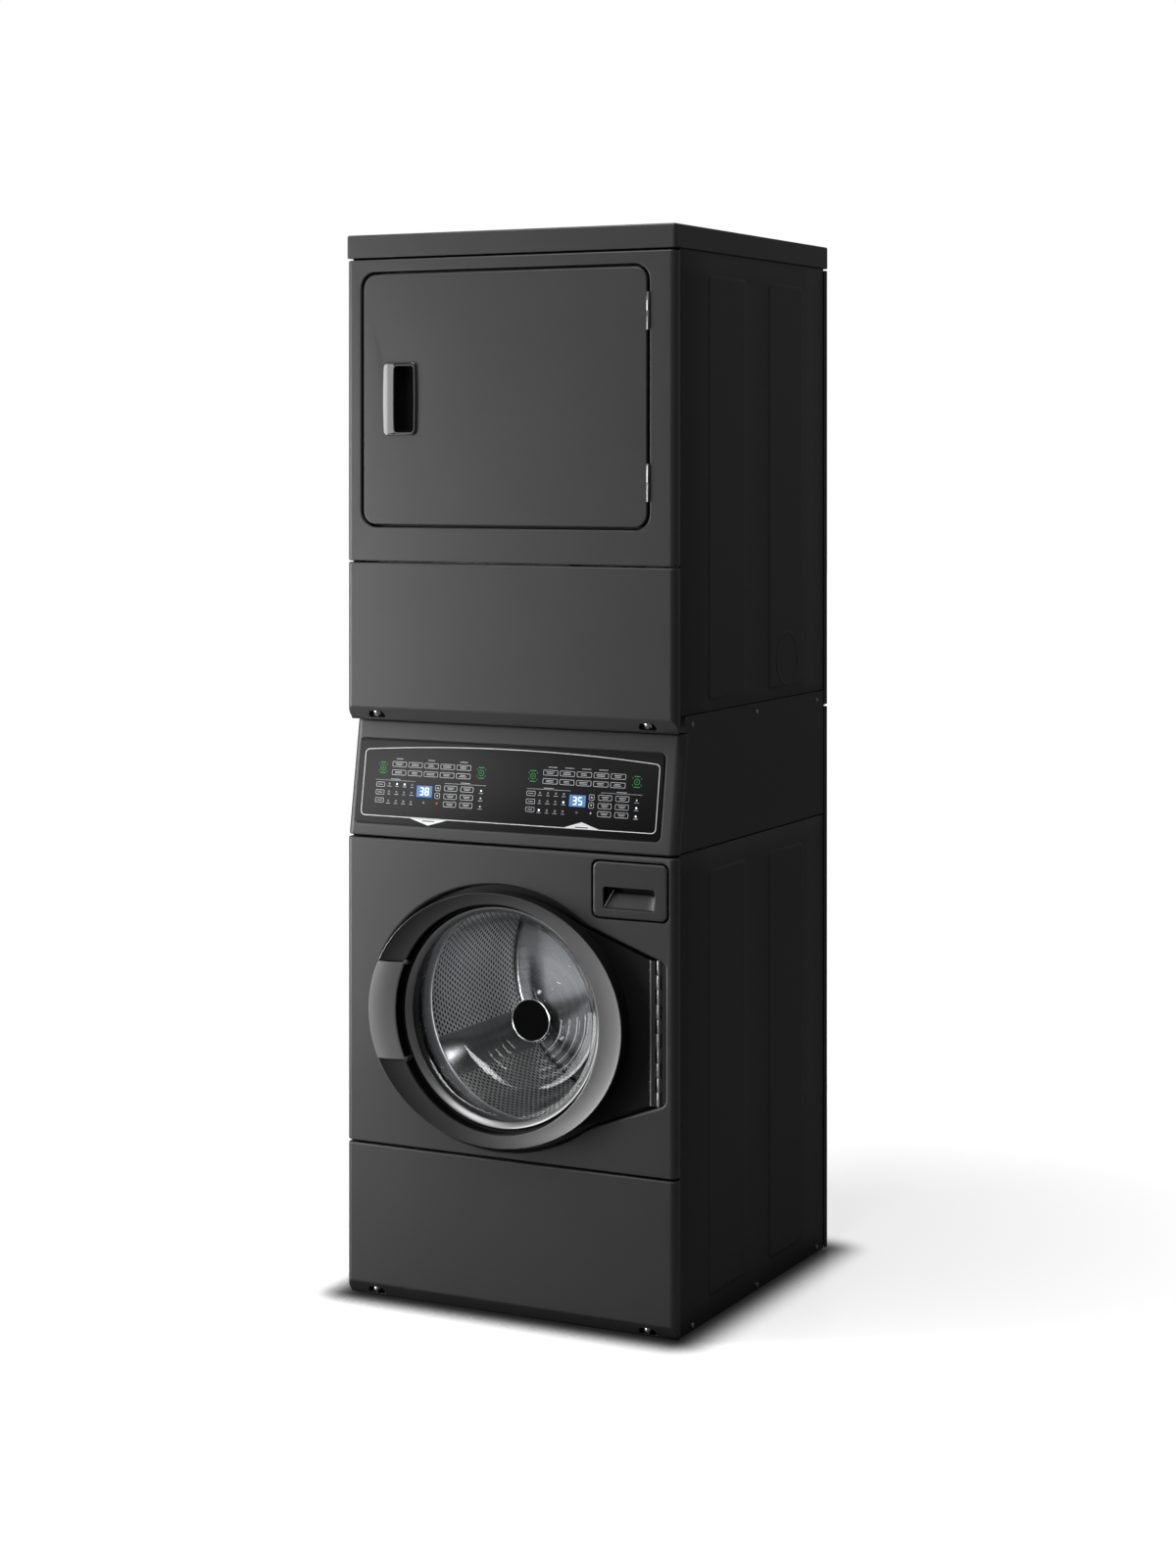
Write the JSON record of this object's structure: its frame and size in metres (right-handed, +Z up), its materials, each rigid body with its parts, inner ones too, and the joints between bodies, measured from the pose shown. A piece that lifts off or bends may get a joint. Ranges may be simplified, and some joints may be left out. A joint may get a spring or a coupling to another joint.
{
  "type": "washer dryer stack",
  "caption": "Tall dark laundry pair: front-loading washer with round glass door below, tumble dryer with square door above, sloping control panel between.",
  "frame": {"origin": "middle of the footprint, on the floor", "axes": "+Z up, front faces -Y, +X to the right of someone facing the front"},
  "size_m": [0.685, 0.768, 1.984],
  "materials": {
    "coat": "satin dark grey powder coat",
    "coat_dark": "satin near-black coat",
    "zinc_steel": "zinc-plated sheet",
    "stainless": "brushed stainless steel",
    "chrome": "polished",
    "door_plastic": "satin moulded plastic",
    "gloss_plastic": "glossy black moulded plastic",
    "black_plastic": "matte moulded plastic",
    "tub_plastic": "filled polypropylene",
    "rubber": "moulded rubber",
    "overlay": "printed satin film with windows",
    "glass": "clear pressed glass",
    "cast_weight": "cast ballast",
    "board": "circuit board laminate",
    "motor_steel": "painted motor shell",
    "pulley_alloy": "die-cast",
    "fittings": "moulded fittings"
  },
  "bodies": {
    "cabinet": {"washer_base": "zinc_steel", "levelling_feet": "rubber", "washer_side_left": "coat", "washer_side_right": "coat", "washer_rear_panel": "coat", "washer_front_panel": "coat", "washer_lower_panel": "coat", "washer_tub": "tub_plastic", "door_gasket": "rubber", "counterweights": "cast_weight", "tub_suspension": "zinc_steel", "washer_motor": "motor_steel", "drain_pump": "black_plastic", "hose_connectors": "fittings", "dispenser_housing": "black_plastic", "door_catches": "black_plastic", "drive_belts": "rubber", "control_housing": "coat", "console": "coat", "control_overlay": "overlay", "control_boards": "board", "hinge_frames": "chrome", "panel_screws": "zinc_steel", "dryer_base": "coat_dark", "dryer_side_left": "coat", "dryer_side_right": "coat", "dryer_rear_panel": "coat", "top_cap": "coat", "dryer_front_panel": "coat", "dryer_lower_panel": "coat", "front_bulkhead": "zinc_steel", "rear_bulkhead": "zinc_steel", "dryer_motor": "motor_steel", "blower_housing": "zinc_steel", "heater_box": "zinc_steel"},
    "washer_door": {"washer_door_ring": "door_plastic", "washer_door_handle": "door_plastic", "washer_door_trim": "stainless", "washer_door_glass": "glass", "washer_door_frame": "black_plastic", "washer_door_hardware": "chrome"},
    "dispenser": {"dispenser_drawer": "black_plastic", "dispenser_front": "door_plastic"},
    "washer_basket": {"washer_drum": "stainless", "drum_lifters": "stainless", "drum_spider": "pulley_alloy", "drum_pulley": "pulley_alloy"},
    "washer_motor_shaft": {"motor_pulley": "zinc_steel"},
    "pump_rotor": {"pump_impeller": "black_plastic"},
    "dryer_door": {"dryer_door_panel": "coat", "dryer_door_liner": "coat_dark", "dryer_door_handle": "gloss_plastic", "dryer_door_hardware": "chrome"},
    "dryer_tumbler": {"dryer_drum": "stainless", "drum_baffles": "stainless"},
    "left_roller": {"roller_left": "rubber"},
    "right_roller": {"roller_right": "rubber"},
    "dryer_motor_shaft": {"blower_wheel": "black_plastic"},
    "idler": {"idler_wheel": "black_plastic"},
    "lint_screen": {"lint_filter": "zinc_steel"}
  },
  "joints": [
    {"name": "washer_door_hinge", "type": "hinge", "parent": "cabinet", "child": "washer_door", "pos_m": [0.306, -0.346, 0.545], "axis": [0, 0, 1], "range_deg": [0, 120]},
    {"name": "dispenser_slide", "type": "slide", "parent": "cabinet", "child": "dispenser", "axis": [0, -1, 0], "range_m": [0, 0.13]},
    {"name": "washer_drum_spin", "type": "hinge", "parent": "cabinet", "child": "washer_basket", "pos_m": [-0.015, 0, 0.545], "axis": [0, 1, 0], "continuous": true},
    {"name": "washer_motor_spin", "type": "hinge", "parent": "cabinet", "child": "washer_motor_shaft", "pos_m": [0.055, 0.25, 0.165], "axis": [0, 1, 0], "continuous": true},
    {"name": "pump_spin", "type": "hinge", "parent": "cabinet", "child": "pump_rotor", "pos_m": [0.2, -0.2, 0.092], "axis": [0, 1, 0], "continuous": true},
    {"name": "dryer_door_hinge", "type": "hinge", "parent": "cabinet", "child": "dryer_door", "pos_m": [0.2879, -0.353, 1.676], "axis": [0, 0, 1], "range_deg": [0, 170]},
    {"name": "dryer_drum_spin", "type": "hinge", "parent": "cabinet", "child": "dryer_tumbler", "pos_m": [-0.0093, 0, 1.6], "axis": [0, 1, 0], "continuous": true},
    {"name": "left_roller_spin", "type": "hinge", "parent": "cabinet", "child": "left_roller", "pos_m": [-0.2085, 0.26, 1.31551], "axis": [0, 1, 0], "continuous": true},
    {"name": "right_roller_spin", "type": "hinge", "parent": "cabinet", "child": "right_roller", "pos_m": [0.1899, 0.26, 1.31551], "axis": [0, 1, 0], "continuous": true},
    {"name": "blower_spin", "type": "hinge", "parent": "cabinet", "child": "dryer_motor_shaft", "pos_m": [-0.11, 0, 1.2], "axis": [0, 1, 0], "continuous": true},
    {"name": "idler_spin", "type": "hinge", "parent": "cabinet", "child": "idler", "pos_m": [-0.0404, 0, 1.1955], "axis": [0, 1, 0], "continuous": true},
    {"name": "lint_screen_slide", "type": "slide", "parent": "cabinet", "child": "lint_screen", "axis": [0, 0, 1], "range_m": [0, 0.15]}
  ],
  "couplings": [
    {"joint": "washer_motor_spin", "follows": "washer_drum_spin", "ratio": 11.48},
    {"joint": "blower_spin", "follows": "dryer_drum_spin", "ratio": 25.84},
    {"joint": "left_roller_spin", "follows": "dryer_drum_spin", "ratio": -12.88},
    {"joint": "right_roller_spin", "follows": "dryer_drum_spin", "ratio": -12.88},
    {"joint": "idler_spin", "follows": "dryer_drum_spin", "ratio": -16.275}
  ]
}
